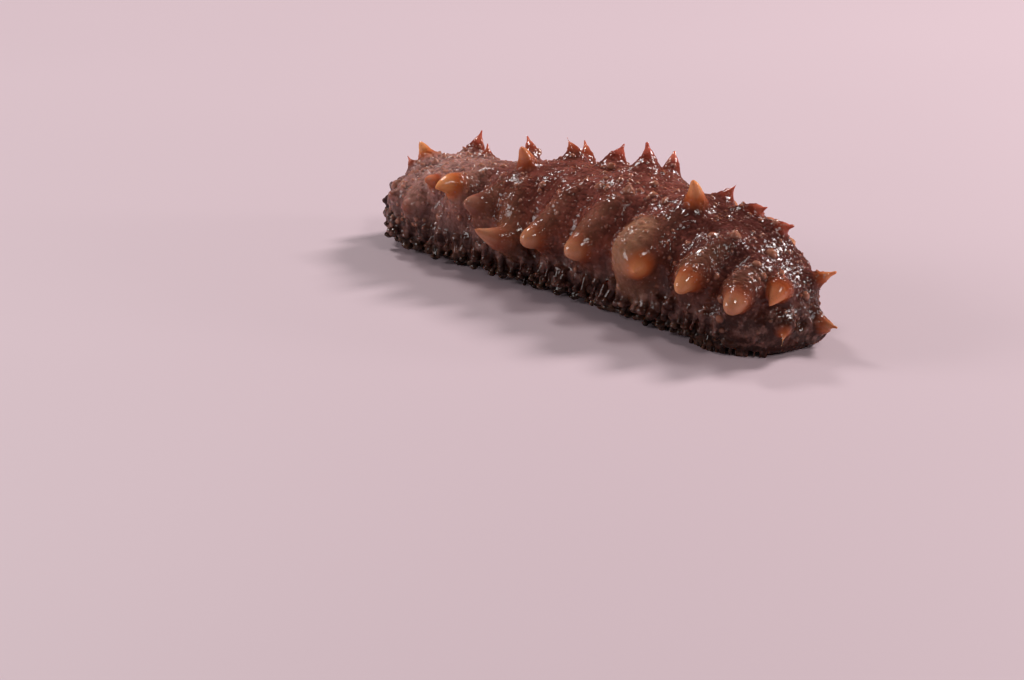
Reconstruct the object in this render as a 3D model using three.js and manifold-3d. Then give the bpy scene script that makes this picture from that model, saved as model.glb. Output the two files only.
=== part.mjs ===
// A spiny sea cucumber, life size, in a still pose.
// The body lies along X, from the mouth end at -X to the vent end at +X, and stands on its sole.
// Millimetres, +Z up, the floor at z = 0.

import * as THREE from "three";
import { mergeVertices } from "three/addons/utils/BufferGeometryUtils.js";
import Module from "manifold-3d";

const wasm = await Module();
wasm.setup();

// Driving dimensions.
const GAP = 0.3;
const HEAD_END = -44;
const TAIL_END = 49.5;
const END_ROUNDING = 10;

// Stations along the body: x, centre line y, half width, height of the back.
const STATIONS = [
  [-44.0, 0.0, 9.0, 12.0],
  [-36.0, 0.5, 10.5, 14.8],
  [-20.0, 1.5, 11.8, 17.3],
  [-4.0, 2.0, 12.5, 19.5],
  [12.0, 1.5, 12.8, 20.8],
  [26.0, 0.5, 12.3, 19.0],
  [38.0, -0.5, 11.5, 16.8],
  [49.5, -1.5, 9.5, 11.0],
];
const [CENTRE, HALF_WIDTH, HEIGHT] = [1, 2, 3];

// The section: its widest line is at this share of the height, and each part has its own power.
const WIDEST_AT = 0.45;
const SIDE_POWER = 2.2;
const BACK_POWER = 2.1;
const BELLY_POWER = 2.4;

// Towards the tail the belly squares up, settles onto the floor and shifts to the +Y side.
const SETTLE_FROM = 34;
const SETTLE_TO = 45;
const SETTLED_POWER = 6;
const SETTLED_DROP = 1.1;
const SETTLED_SHIFT = 2.5;

const RING_STEP = 2.6;
const RING_POINTS = 30;

// The cuts between the lengths of the trunk, and between those of the sole.
const TRUNK_CUTS = [-25.7, -3.9, 16.5, 40.65];
const SOLE_CUTS = [-13, 17];

// The belly is hollowed over the sole, with a rim at the mouth end; the tail reaches the floor.
const BELLY_Z = 4.2;
const RIM_Z = 0.8;

// The sole: a flat strip under the belly, narrower than the flanks that hang over it.
const SOLE_TOP = BELLY_Z - GAP;
const SOLE_UNDER = 1.1;
const SOLE_WIDTH = 0.5;
const SOLE_START = -40.5;
const SOLE_FINISH = 43;
const SOLE_ROUNDING = 11;
const SOLE_ROOM = 1.75;

// Rows of tube feet: place across the sole's half width, lean outwards, height, step along it,
// and first step as a share of that.
const FOOT_ROWS = [
  [-1, -1, 3.7, 2.6, 0],
  [-0.6, 0, 2, 3.4, 0.5],
  [0, 0, 2, 3.4, 0],
  [0.6, 0, 2, 3.4, 0.5],
  [1, 1, 3.7, 2.6, 0],
];
const FOOT_SIDES = 5;
const NARROW = 2.4;

// The mouth end: a disc that faces forwards and down, with a ring of drawn-in tentacles.
const CROWN_CENTRE = new THREE.Vector3(-41.2, 0, 5.4);
const CROWN_TILT = 0.35;
const DISC_DEPTH = 1.9;
const TENTACLES = 16;
const TENTACLE_SIDES = 6;
const TENTACLE_RADIUS = 1.15;
const INNER_REACH = 3;
const OUTER_REACH = 4.3;
const MOUTH_RADIUS = 1.1;
const MOUTH_DEPTH = 1.2;
const LIP_RADIUS = 0.45;
const VENT_RADIUS = 1.3;
const VENT_DEPTH = 1.5;

// Papillae of the near flank and the back, each with its x, angle, length, radius, lean to the
// tail, droop down the flank (degrees) and shape.
const PAPILLAE = [
  [-38.8, 18, 3.0, 1.1, -12, -10, "sharp"],
  [-37.2, 6, 4.8, 1.4, -8, 0, "sharp"],
  [-34.6, -35, 5.7, 1.9, 7, 0, "sharp"],
  [-29.8, -24, 2.5, 1.1, -4, 0, "sharp"],
  [-22.8, -42, 6.2, 1.8, -25, 0, "sharp"],
  [-11.2, 16, 5.3, 1.4, 12, 12, "sharp"],
  [-9.8, -25, 4.9, 1.6, -28, 0, "sharp"],
  [-10.8, -46, 6.6, 1.5, -24, 0, "sharp"],
  [-1.1, -30, 4.2, 1.9, 10, 0, "sharp"],
  [8.6, -20, 4.6, 2.1, -15, 0, "sharp"],
  [9.4, -42, 5.4, 1.6, -16, 0, "sharp"],
  [26.5, 6, 5.8, 1.4, 1, 15, "sharp"],
  [25.8, -25, 3.8, 1.5, 16, 0, "sharp"],
  [33.1, -20, 3.6, 1.6, 40, 0, "sharp"],
  [38.2, -25, 3.4, 1.5, 38, 0, "sharp"],
  [46.4, -42, 3.9, 1.5, 0, 8, "sharp"],
  [-36.6, 66, 1.6, 1.3, -4, 8, "blunt"],
  [-31.5, 74, 2.0, 1.4, 4, 10, "blunt"],
  [-27.7, 47, 3.8, 1.2, 2, 24, "sharp"],
  [-21.9, 49, 6.0, 1.75, 0, 34, "sharp"],
  [-14.1, 65, 5.8, 1.8, 8, 8, "sharp"],
  [-6.5, 88, 7.4, 1.8, -20, -18, "sharp"],
  [1.5, 80, 4.8, 1.9, -5, 14, "blunt"],
  [11.8, 78, 5.0, 2.0, 5, 22, "blunt"],
  [23.6, 69, 5.4, 2.7, 38, 38, "blunt"],
  [35.9, 64, 5.7, 1.55, 5, 48, "blunt"],
  [43.7, 58, 5.6, 1.75, -1, 51, "blunt"],
  [46.7, 22, 4.8, 1.5, 44, 72, "sharp"],
  [48.8, 90, 3.2, 1.4, -30, 36, "sharp"],
  [48.7, -91, 4.0, 1.6, 22, -4, "sharp"],
];

// Papillae of the far flank, in a low row and a higher one.
const FAR_LOW = { at: [-37.5, -31, -21, -11.5, -0.5, 10.5, 22, 31.5], angle: -80, length: 5, radius: 2 };
const FAR_HIGH = { at: [-39.5, -17.5, -1.5, 12.5, 20, 30.5], angle: -62, length: 3.2, radius: 1.4 };

// Small round warts: x, angle, radius.
const WARTS = [
  [-27.2, 33, 0.6],
  [-20.8, 37, 0.6],
  [-17.8, 13, 0.6],
  [-14.4, 31, 0.6],
  [-4.6, 33, 0.6],
  [0.5, -18, 0.7],
  [7.6, 25, 0.7],
  [14.4, 23, 0.7],
  [14.9, -1, 0.6],
  [18.2, 14, 0.8],
  [21.3, 16, 0.6],
  [26.9, -12, 0.7],
  [29.9, 30, 0.6],
  [34.0, 25, 0.6],
  [37.2, 15, 0.8],
  [39.4, 33, 0.6],
  [42.4, 0, 0.8],
  [43.2, 24, 0.7],
  [44.8, 42, 0.9],
  [48.1, -21, 0.7],
];

// Outlines of the growths: distance along the axis and radius, as shares of their own.
const SHAPES = {
  sharp: [
    [-0.42, 1.1],
    [-0.06, 1.5],
    [0.12, 1.08],
    [0.42, 0.84],
    [0.76, 0.46],
  ],
  blunt: [
    [-0.42, 1.1],
    [-0.06, 1.5],
    [0.12, 1.14],
    [0.5, 0.95],
    [0.86, 0.58],
  ],
  wart: [
    [-0.8, 0.8],
    [0.1, 1.0],
    [0.7, 0.65],
  ],
};
const DEEPEST_ROOT = 2.2;
const PAPILLA_SIDES = 7;
const WART_SIDES = 5;

// The middle of the whole outline, moved onto the frame's origin.
const MIDDLE = { x: 2.9, y: 1.2 };

// Distances that reach well past the animal on every side.
const FAR_OUT = 80;

const COLOURS = {
  skin: 0x5a3129,
  sole: 0x2f2019,
  tentacles: 0x4a3436,
};

// Body shape.

// A smooth curve through the stations, for one of their columns.
function along(x, column) {
  const last = STATIONS.length - 1;
  let i = 0;
  while (i < last - 1 && x >= STATIONS[i + 1][0]) i += 1;
  const slope = (k) => {
    const a = STATIONS[Math.max(k - 1, 0)];
    const b = STATIONS[Math.min(k + 1, last)];
    return (b[column] - a[column]) / (b[0] - a[0]);
  };
  const h = STATIONS[i + 1][0] - STATIONS[i][0];
  const t = (x - STATIONS[i][0]) / h;
  const t2 = t * t;
  const t3 = t2 * t;
  return (
    STATIONS[i][column] * (2 * t3 - 3 * t2 + 1) +
    slope(i) * h * (t3 - 2 * t2 + t) +
    STATIONS[i + 1][column] * (3 * t2 - 2 * t3) +
    slope(i + 1) * h * (t3 - t2)
  );
}

// How open a section still is near the two ends: 1 along the middle, 0 at the ends.
function opening(x, start, finish, rounding, startPower, finishPower) {
  const d0 = THREE.MathUtils.clamp((x - start) / rounding, 0, 1);
  const d1 = THREE.MathUtils.clamp((finish - x) / rounding, 0, 1);
  return Math.sqrt(1 - (1 - d0) ** startPower) * Math.sqrt(1 - (1 - d1) ** finishPower);
}

// A point of the skin: the angle is 0 on the back and 90 degrees on the -Y flank.
function skinPoint(x, angle) {
  const back = opening(x, HEAD_END, TAIL_END, END_ROUNDING, 2.4, 2.6);
  const belly = opening(x, HEAD_END, TAIL_END, END_ROUNDING, 4, 12);
  const settled = THREE.MathUtils.smoothstep(x, SETTLE_FROM, SETTLE_TO);
  const bellyPower = THREE.MathUtils.lerp(BELLY_POWER, SETTLED_POWER, settled);
  const drop = THREE.MathUtils.lerp(1, SETTLED_DROP, settled);
  const top = along(x, HEIGHT);
  const middle = top * WIDEST_AT;
  const s = Math.sin(angle);
  const c = Math.cos(angle);
  const out = along(x, HALF_WIDTH) * back * Math.sign(s) * Math.abs(s) ** (2 / SIDE_POWER);
  const rise = (top - middle) * back * Math.abs(c) ** (2 / BACK_POWER);
  const fall = middle * belly * drop * Math.abs(c) ** (2 / bellyPower);
  const shift = SETTLED_SHIFT * settled * Math.max(-c, 0);
  const y = along(x, CENTRE) - out + shift;
  return new THREE.Vector3(x, y, c > 0 ? middle + rise : middle - fall);
}

// The skin's outward direction, and the two directions along it: to the tail and down the flank.
function skinFrame(x, angle) {
  const e = 0.01;
  const toTail = skinPoint(x + e, angle).sub(skinPoint(x - e, angle)).normalize();
  const round = skinPoint(x, angle + e).sub(skinPoint(x, angle - e)).normalize();
  const out = new THREE.Vector3().crossVectors(round, toTail).normalize();
  const down = angle < 0 ? round.clone().negate() : round;
  const tail = new THREE.Vector3(1, 0, 0);
  tail.addScaledVector(out, -out.x).normalize();
  return { out, down, tail };
}

function endPoint(x) {
  return new THREE.Vector3(x, along(x, CENTRE), along(x, HEIGHT) * WIDEST_AT);
}

// Closed solids.

// A closed mesh through a row of rings, with a point at each end.
function loft(rings, first, last) {
  const points = [first, ...rings.flat(), last];
  const count = rings[0].length;
  const at = (i, k) => 1 + i * count + (k % count);
  const faces = [];
  for (let k = 0; k < count; k += 1) {
    faces.push(0, at(0, k + 1), at(0, k));
    for (let i = 0; i < rings.length - 1; i += 1) {
      faces.push(at(i, k), at(i, k + 1), at(i + 1, k + 1));
      faces.push(at(i, k), at(i + 1, k + 1), at(i + 1, k));
    }
    faces.push(points.length - 1, at(rings.length - 1, k), at(rings.length - 1, k + 1));
  }
  const geometry = new THREE.BufferGeometry().setFromPoints(points);
  geometry.setIndex(faces);
  return geometry;
}

// A ring of points round a centre, across two directions.
function ringAt(centre, across, beside, radius, sides) {
  const ring = [];
  for (let k = 0; k < sides; k += 1) {
    const turn = (k / sides) * Math.PI * 2;
    const point = centre.clone().addScaledVector(across, radius * Math.cos(turn));
    ring.push(point.addScaledVector(beside, radius * Math.sin(turn)));
  }
  return ring;
}

// A closed geometry as a solid, turned outwards where its faces point in.
function solid(geometry) {
  const bare = geometry.clone();
  bare.deleteAttribute("normal");
  bare.deleteAttribute("uv");
  const merged = mergeVertices(bare, 1e-4);
  const triangles = new Uint32Array(merged.index.array);
  const points = new Float32Array(merged.attributes.position.array);
  const make = () =>
    new wasm.Manifold(new wasm.Mesh({ numProp: 3, vertProperties: points, triVerts: triangles }));
  const made = make();
  if (made.volume() > 0) return made;
  for (let i = 0; i < triangles.length; i += 3) {
    [triangles[i + 1], triangles[i + 2]] = [triangles[i + 2], triangles[i + 1]];
  }
  return make();
}

// The space between two places along the body and two heights.
function slab(x0, x1, z0, z1) {
  const geometry = new THREE.BoxGeometry(x1 - x0, 2 * FAR_OUT, z1 - z0);
  geometry.translate((x0 + x1) / 2, 0, (z0 + z1) / 2);
  return solid(geometry);
}

// The space beside the mouth end's tilted cut, to a depth: side 1 is the body's, -1 the disc's.
function besideCrownCut(side, depth) {
  const geometry = new THREE.BoxGeometry(depth, FAR_OUT, FAR_OUT);
  geometry.translate(side * (depth / 2 + GAP / 2), 0, 0);
  geometry.rotateY(-CROWN_TILT);
  geometry.translate(CROWN_CENTRE.x, CROWN_CENTRE.y, CROWN_CENTRE.z);
  return solid(geometry);
}

// Joins the pieces two by two.
function fuse(pieces) {
  let level = pieces;
  while (level.length > 1) {
    const next = [];
    for (let i = 0; i < level.length; i += 2) {
      next.push(i + 1 < level.length ? level[i].add(level[i + 1]) : level[i]);
    }
    level = next;
  }
  return level[0];
}

// A small round pit, sunk along a line from its mouth.
function pit(mouth, inwards, radius, depth) {
  const profile = [
    new THREE.Vector2(0, depth),
    new THREE.Vector2(radius * 0.6, depth * 0.7),
    new THREE.Vector2(radius, 0),
    new THREE.Vector2(radius * 1.5, -depth * 0.5),
    new THREE.Vector2(0, -depth * 0.5),
  ];
  const geometry = new THREE.LatheGeometry(profile, 10);
  const turn = new THREE.Quaternion().setFromUnitVectors(new THREE.Vector3(0, 1, 0), inwards);
  geometry.applyQuaternion(turn);
  geometry.translate(mouth.x, mouth.y, mouth.z);
  return solid(geometry);
}

// Body.
function bodySolid() {
  const closing = [0.12, 0.5, 1.2, 2.3, 3.8, 5.8, 8];
  const run = TAIL_END - HEAD_END - 2 * END_ROUNDING;
  const steps = Math.round(run / RING_STEP);
  const stations = closing.map((step) => HEAD_END + step);
  for (let i = 0; i <= steps; i += 1) {
    stations.push(HEAD_END + END_ROUNDING + (run * i) / steps);
  }
  stations.push(...closing.toReversed().map((step) => TAIL_END - step));
  const rings = stations.map((x) => {
    const ring = [];
    for (let k = 0; k < RING_POINTS; k += 1) {
      ring.push(skinPoint(x, (k / RING_POINTS) * Math.PI * 2));
    }
    return ring;
  });
  return solid(loft(rings, endPoint(HEAD_END), endPoint(TAIL_END)));
}

// The room under the belly, with a slope at both ends.
function underBelly() {
  const outline = new THREE.Shape();
  outline.moveTo(-FAR_OUT, -FAR_OUT);
  outline.lineTo(-FAR_OUT, RIM_Z);
  outline.lineTo(HEAD_END + 3, RIM_Z);
  outline.lineTo(HEAD_END + 9, BELLY_Z);
  outline.lineTo(SOLE_FINISH - 3, BELLY_Z);
  outline.lineTo(SOLE_FINISH + 1.5, 0);
  outline.lineTo(FAR_OUT, 0);
  outline.lineTo(FAR_OUT, -FAR_OUT);
  const geometry = new THREE.ExtrudeGeometry(outline, { depth: FAR_OUT, bevelEnabled: false });
  geometry.rotateX(Math.PI / 2);
  geometry.translate(0, FAR_OUT / 2, 0);
  return solid(geometry);
}

// Sole.
function soleHalfWidth(x, margin = 0) {
  const start = SOLE_START - margin;
  const finish = SOLE_FINISH + margin;
  const open = opening(x, start, finish, SOLE_ROUNDING, 2.4, 2.4);
  return (along(x, HALF_WIDTH) * SOLE_WIDTH + margin) * open;
}

// The sole between two heights, grown by a margin all round.
function soleSolid(margin, low, high) {
  const start = SOLE_START - margin;
  const run = SOLE_FINISH + margin - start;
  const steps = 22;
  const edge = [];
  for (let i = 1; i < steps; i += 1) {
    edge.push(start + (run * (1 - Math.cos((i / steps) * Math.PI))) / 2);
  }
  const outline = new THREE.Shape();
  outline.moveTo(start, along(start, CENTRE));
  for (const x of edge) outline.lineTo(x, along(x, CENTRE) - soleHalfWidth(x, margin));
  outline.lineTo(start + run, along(start + run, CENTRE));
  for (const x of edge.toReversed()) {
    outline.lineTo(x, along(x, CENTRE) + soleHalfWidth(x, margin));
  }
  const geometry = new THREE.ExtrudeGeometry(outline, { depth: high - low, bevelEnabled: false });
  geometry.translate(0, 0, low);
  return solid(geometry);
}

// One tube foot: a pillar that stands on the floor on its sucker, leaning out at the sole's edge.
function tubeFoot(x, y, top, outwards) {
  const across = new THREE.Vector3(1, 0, 0);
  const beside = new THREE.Vector3(0, 1, 0);
  const at = (shift, z) => new THREE.Vector3(x, y + shift * outwards, z);
  const rings = [
    ringAt(at(0, top), across, beside, 0.5, FOOT_SIDES),
    ringAt(at(0.45, 0.5), across, beside, 0.52, FOOT_SIDES),
    ringAt(at(0.55, 0), across, beside, 0.72, FOOT_SIDES),
  ];
  return solid(loft(rings, at(0, top), at(0.55, 0)));
}

// The feet of one length of the sole, clear of the cuts at its ends.
function tubeFeet(from, to) {
  const start = Math.max(from, SOLE_START + 1.2) + 0.9;
  const finish = Math.min(to, SOLE_FINISH - 0.4) - 0.9;
  const feet = [];
  for (const [share, outwards, top, pitch, offset] of FOOT_ROWS) {
    const steps = Math.round((finish - start) / pitch);
    for (let i = 0; i <= steps - offset; i += 1) {
      const x = start + ((finish - start) * (i + offset)) / steps;
      const half = soleHalfWidth(x);
      const crowded = half < NARROW && Math.abs(share) < 1;
      if (!crowded) feet.push(tubeFoot(x, along(x, CENTRE) + half * share, top, outwards));
    }
  }
  return feet;
}

// Papillae and warts.

// One growth: it rises along the skin's outward direction and bends into its own.
function growth(x, degrees, length, radius, lean, droop, shape, sides) {
  const angle = THREE.MathUtils.degToRad(degrees);
  const root = skinPoint(x, angle);
  const { out, down, tail } = skinFrame(x, angle);
  const aim = out.clone();
  aim.addScaledVector(tail, Math.tan(THREE.MathUtils.degToRad(lean)));
  aim.addScaledVector(down, Math.tan(THREE.MathUtils.degToRad(droop)));
  aim.normalize();
  const axis = (t) => {
    const bend = THREE.MathUtils.clamp(t, 0, 1);
    const point = root.clone().addScaledVector(out, length * t * (1 - bend));
    return point.addScaledVector(aim, length * t * bend);
  };
  const rings = SHAPES[shape].map(([t, share]) => {
    const place = Math.max(t, -DEEPEST_ROOT / length);
    const ahead = axis(place + 0.05).sub(axis(place - 0.05)).normalize();
    const across = new THREE.Vector3().crossVectors(ahead, tail).normalize();
    const beside = new THREE.Vector3().crossVectors(across, ahead);
    return ringAt(axis(place), across, beside, radius * share, sides);
  });
  const foot = Math.max(SHAPES[shape][0][0], -DEEPEST_ROOT / length) - 0.05;
  return solid(loft(rings, axis(foot), axis(1)));
}

// A repeatable run of numbers from 0 to 1.
function numbers(seed) {
  let state = seed;
  return () => {
    state = (state * 16807) % 2147483647;
    return state / 2147483647;
  };
}

function farPapillae() {
  const next = numbers(71);
  const rows = [];
  for (const { at, angle, length, radius } of [FAR_LOW, FAR_HIGH]) {
    for (const x of at) {
      const turn = angle + 10 * (next() - 0.5);
      const size = 0.85 + 0.3 * next();
      const lean = 30 * (next() - 0.5);
      rows.push([x, turn, length * size, radius * size, lean, 12 * next(), "sharp"]);
    }
  }
  return rows;
}

// The growths that stand on one length of the body.
function growthsBetween(from, to) {
  const inside = (row) => row[0] > from && row[0] < to;
  const papillae = [...PAPILLAE, ...farPapillae()].filter(inside);
  const made = papillae.map((row) => growth(...row, PAPILLA_SIDES));
  for (const [x, angle, radius] of WARTS.filter(inside)) {
    made.push(growth(x, angle, radius, radius, 0, 0, "wart", WART_SIDES));
  }
  return made;
}

// Mouth disc and tentacles.

// A point in front of the mouth end's cut, at a distance and an angle from its middle.
function crownPoint(forwards, radius, angle) {
  const point = new THREE.Vector3(-forwards, radius * Math.sin(angle), radius * Math.cos(angle));
  point.applyAxisAngle(new THREE.Vector3(0, 1, 0), -CROWN_TILT);
  return point.add(CROWN_CENTRE);
}

// One drawn-in tentacle: a short stalk with a rounded head.
function tentacle(index) {
  const angle = (index / TENTACLES) * Math.PI * 2;
  const reach = index % 2 ? INNER_REACH : OUTER_REACH;
  const across = crownPoint(0, 1, angle).sub(CROWN_CENTRE);
  const beside = crownPoint(0, 1, angle + Math.PI / 2).sub(CROWN_CENTRE);
  const rings = [
    [0.6, 0, 0.8],
    [1.3, 0.2, 0.85],
    [2.1, 0.5, 1.15],
    [2.8, 0.6, 1.05],
    [3.3, 0.6, 0.6],
  ].map(([forwards, spread, share]) => {
    const centre = crownPoint(forwards, reach + spread, angle);
    return ringAt(centre, across, beside, TENTACLE_RADIUS * share, TENTACLE_SIDES);
  });
  return solid(loft(rings, crownPoint(0.5, reach, angle), crownPoint(3.5, reach + 0.6, angle)));
}

// The round lip that stands proud of the disc.
function lip(inwards) {
  const geometry = new THREE.TorusGeometry(MOUTH_RADIUS + LIP_RADIUS, LIP_RADIUS, 6, 12);
  const turn = new THREE.Quaternion().setFromUnitVectors(new THREE.Vector3(0, 0, 1), inwards);
  geometry.applyQuaternion(turn);
  const middle = crownPoint(DISC_DEPTH + GAP / 2, 0, 0);
  geometry.translate(middle.x, middle.y, middle.z);
  return solid(geometry);
}

// Assembly.
const body = bodySolid().subtract(underBelly());
const soleBlock = soleSolid(0, SOLE_UNDER, SOLE_TOP);
const soleRoom = soleSolid(SOLE_ROOM, -1, BELLY_Z);
const animal = new THREE.Group();
animal.position.set(-MIDDLE.x, -MIDDLE.y, 0);

// Adds a solid's largest closed surface to the animal as one named piece.
function addPiece(name, made, colour) {
  const [largest] = made.decompose().toSorted((a, b) => b.volume() - a.volume());
  const mesh = largest.getMesh();
  const geometry = new THREE.BufferGeometry();
  geometry.setAttribute("position", new THREE.BufferAttribute(mesh.vertProperties, 3));
  geometry.setIndex(new THREE.BufferAttribute(mesh.triVerts, 1));
  geometry.computeVertexNormals();
  const material = new THREE.MeshStandardMaterial({ color: colour, roughness: 0.3, metalness: 0 });
  const piece = new THREE.Mesh(geometry, material);
  piece.name = name;
  animal.add(piece);
}

// The two ends of one length, given the cuts and its place among them.
function ends(cuts, i) {
  const from = i === 0 ? -FAR_OUT : cuts[i - 1] + GAP / 2;
  const to = i === cuts.length ? FAR_OUT : cuts[i] - GAP / 2;
  return [from, to];
}

["head", "trunk_front", "trunk_middle", "trunk_rear", "tail"].forEach((name, i) => {
  const [from, to] = ends(TRUNK_CUTS, i);
  const room = slab(from, to, name === "tail" ? 0 : RIM_Z, FAR_OUT);
  let made = fuse([body.intersect(room), ...growthsBetween(from, to)]);
  made = made.intersect(room).subtract(soleRoom);
  if (name === "head") made = made.intersect(besideCrownCut(1, FAR_OUT));
  if (name === "tail") {
    const vent = pit(endPoint(TAIL_END), new THREE.Vector3(-1, 0, 0), VENT_RADIUS, VENT_DEPTH);
    made = made.subtract(vent);
  }
  addPiece(name, made, COLOURS.skin);
});

["sole_front", "sole_middle", "sole_rear"].forEach((name, i) => {
  const [from, to] = ends(SOLE_CUTS, i);
  const room = slab(from, to, 0, SOLE_TOP);
  const made = fuse([soleBlock.intersect(room), ...tubeFeet(from, to)]).intersect(room);
  addPiece(name, made, COLOURS.sole);
});

const tentacles = [];
for (let i = 0; i < TENTACLES; i += 1) tentacles.push(tentacle(i));
const mouthwards = crownPoint(-1, 0, 0).sub(CROWN_CENTRE);
const mouth = pit(crownPoint(DISC_DEPTH + GAP, 0, 0), mouthwards, MOUTH_RADIUS, MOUTH_DEPTH);
const crown = fuse([body.intersect(besideCrownCut(-1, DISC_DEPTH)), lip(mouthwards), ...tentacles])
  .intersect(slab(-FAR_OUT, 0, RIM_Z, FAR_OUT))
  .subtract(soleRoom)
  .subtract(mouth);
addPiece("tentacle_crown", crown, COLOURS.tentacles);

export default animal;
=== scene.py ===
import math

import bpy
import numpy as np
from mathutils import Matrix, Vector


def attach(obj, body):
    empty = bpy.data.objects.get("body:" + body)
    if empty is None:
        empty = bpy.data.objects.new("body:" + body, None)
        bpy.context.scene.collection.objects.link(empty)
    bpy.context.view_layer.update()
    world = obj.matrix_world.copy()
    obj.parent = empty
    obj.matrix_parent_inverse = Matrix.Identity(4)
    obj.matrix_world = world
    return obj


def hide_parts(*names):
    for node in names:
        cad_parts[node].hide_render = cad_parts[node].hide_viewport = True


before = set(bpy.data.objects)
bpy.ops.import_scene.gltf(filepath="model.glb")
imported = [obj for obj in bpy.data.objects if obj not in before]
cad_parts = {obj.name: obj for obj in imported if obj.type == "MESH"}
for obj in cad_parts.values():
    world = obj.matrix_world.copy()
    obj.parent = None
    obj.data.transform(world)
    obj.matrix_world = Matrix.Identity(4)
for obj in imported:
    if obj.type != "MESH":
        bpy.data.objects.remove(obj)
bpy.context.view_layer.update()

# The body is worked out in millimetres round its own axis, from the mouth end at -X to the vent
# end at +X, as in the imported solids. MIDDLE moves it onto the frame's origin.
MIDDLE = np.array([2.9, 1.2, 0.0])
MM = 0.001
VOXEL = 0.15
# Corners of the box that the field of distances fills.
FIELD_LOW, FIELD_HIGH = (-47.5, -17.5, -0.7), (54.0, 21.5, 25.6)

HEAD_END, TAIL_END, END_ROUNDING = -44.0, 49.5, 10.0
# Stations along the body: x, centre line y, half width, height of the back.
CENTRE_Y, HALF_WIDTH, BACK_Z = 1, 2, 3
STATIONS = np.array([
    [-44.0, 0.0, 9.0, 12.0],
    [-36.0, 0.5, 10.5, 14.8],
    [-20.0, 1.5, 11.8, 17.3],
    [-4.0, 2.0, 12.5, 19.5],
    [12.0, 1.5, 12.8, 20.8],
    [26.0, 0.5, 12.3, 19.0],
    [38.0, -0.5, 11.5, 16.8],
    [49.5, -1.5, 9.5, 11.0],
])
WIDEST_AT = 0.45
# How square a section is: across, in its back and in its belly.
SIDE_POWER, BACK_POWER, BELLY_POWER = 2.2, 2.1, 2.4
# How blunt the ends are, at the head and at the tail.
BACK_ENDS, BELLY_ENDS, SOLE_ENDS = (2.4, 2.6), (4, 12), (2.4, 2.4)
# The tail's belly settles on the floor: it gets squarer, lower and shifted to the far flank.
SETTLE_FROM, SETTLE_TO = 34.0, 45.0
SETTLED_POWER, SETTLED_DROP, SETTLED_SHIFT = 6.0, 1.1, 2.5
BELLY_Z, RIM_Z = 4.2, 0.8
SOLE_WIDTH, SOLE_START, SOLE_FINISH, SOLE_ROUNDING = 0.5, -40.5, 43.0, 11.0
# Height of the sole's middle, and half its depth.
SOLE_Z, SOLE_DEPTH = 3.2, 2.1
# A soft bulge along each flank's lower edge: share of the half width, height, radius and fillet.
BULGE_SHARE, BULGE_Z, BULGE_RADIUS, BULGE_FILLET = 0.74, 4.5, 1.7, 1.6
# The mouth end is cut to a disc, so far in front of the crown's centre, with a fillet round it.
CROWN_CENTRE = np.array([-41.2, 0.0, 5.4])
CROWN_TILT, CROWN_FACE, CROWN_FILLET = 0.35, 2.05, 0.8
VENT = np.array([49.9, -1.5, 5.2])

# Papillae: x, angle, length, radius, lean to the tail, droop down the flank, shape, and how pale
# and orange they are. Angles are in degrees: 0 is the middle of the back, 90 the flank at -Y that
# faces the viewer, and -90 the far flank.
PAPILLAE = [
    (-38.8, 18, 3.0, 1.1, -12, -10, "cone", 0.2),
    (-37.2, 6, 4.8, 1.4, -8, 0, "horn", 0.95),
    (-34.6, -35, 5.7, 1.9, 7, 0, "cone", 0.1),
    (-29.8, -24, 2.5, 1.1, -4, 0, "cone", 0.2),
    (-22.8, -42, 6.2, 1.8, -25, 0, "cone", 0.15),
    (-11.2, 16, 5.3, 1.4, 12, 12, "horn", 0.6),
    (-9.8, -25, 4.9, 1.6, -28, 0, "cone", 0.25),
    (-10.8, -46, 6.6, 1.5, -24, 0, "cone", 0.2),
    (-1.1, -30, 4.2, 1.9, 10, 0, "cone", 0.05),
    (8.6, -20, 4.6, 2.1, -15, 0, "cone", 0.05),
    (9.4, -42, 5.4, 1.6, -16, 0, "cone", 0.1),
    (26.5, 6, 5.8, 1.4, 1, 15, "horn", 1.0),
    (25.8, -25, 3.8, 1.5, 16, 0, "cone", 0.1),
    (33.1, -20, 3.6, 1.6, 40, 0, "cone", 0.1),
    (38.2, -25, 3.4, 1.5, 38, 0, "cone", 0.1),
    (46.4, -42, 3.9, 1.5, 0, 8, "cone", 0.7),
    (-36.6, 66, 1.6, 1.3, -4, 8, "bud", 0.2),
    (-31.5, 74, 2.0, 1.4, 4, 10, "bud", 0.2),
    (-27.7, 47, 3.8, 1.2, 2, 24, "horn", 0.35),
    (-21.9, 49, 6.0, 1.75, 0, 34, "horn", 1.0),
    (-14.1, 65, 5.8, 1.8, 8, 8, "horn", 0.0),
    (-6.5, 88, 7.4, 1.8, -20, -18, "horn", 0.25),
    (1.5, 80, 4.8, 1.9, -5, 14, "knob", 0.35),
    (11.8, 78, 5.0, 2.0, 5, 22, "knob", 0.35),
    (23.6, 69, 5.4, 2.7, 38, 38, "mound", 0.85),
    (35.9, 64, 5.7, 1.55, 5, 48, "knob", 0.6),
    (43.7, 58, 5.6, 1.75, -1, 51, "knob", 0.3),
    (46.7, 22, 4.8, 1.5, 44, 72, "horn", 0.6),
    (48.8, 90, 3.2, 1.4, -30, 36, "spike", 0.6),
    (48.7, -91, 4.0, 1.6, 22, -4, "cone", 0.5),
]
# The far flank's low row and higher row of papillae: places along x, angle, length, radius.
FAR_ROWS = [
    ([-37.5, -31, -21, -11.5, -0.5, 10.5, 22, 31.5], -80, 5.0, 2.0),
    ([-39.5, -17.5, -1.5, 12.5, 20, 30.5], -62, 3.2, 1.4),
]
FAR_SHAPES = ("knob", "horn", "cone")
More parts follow.
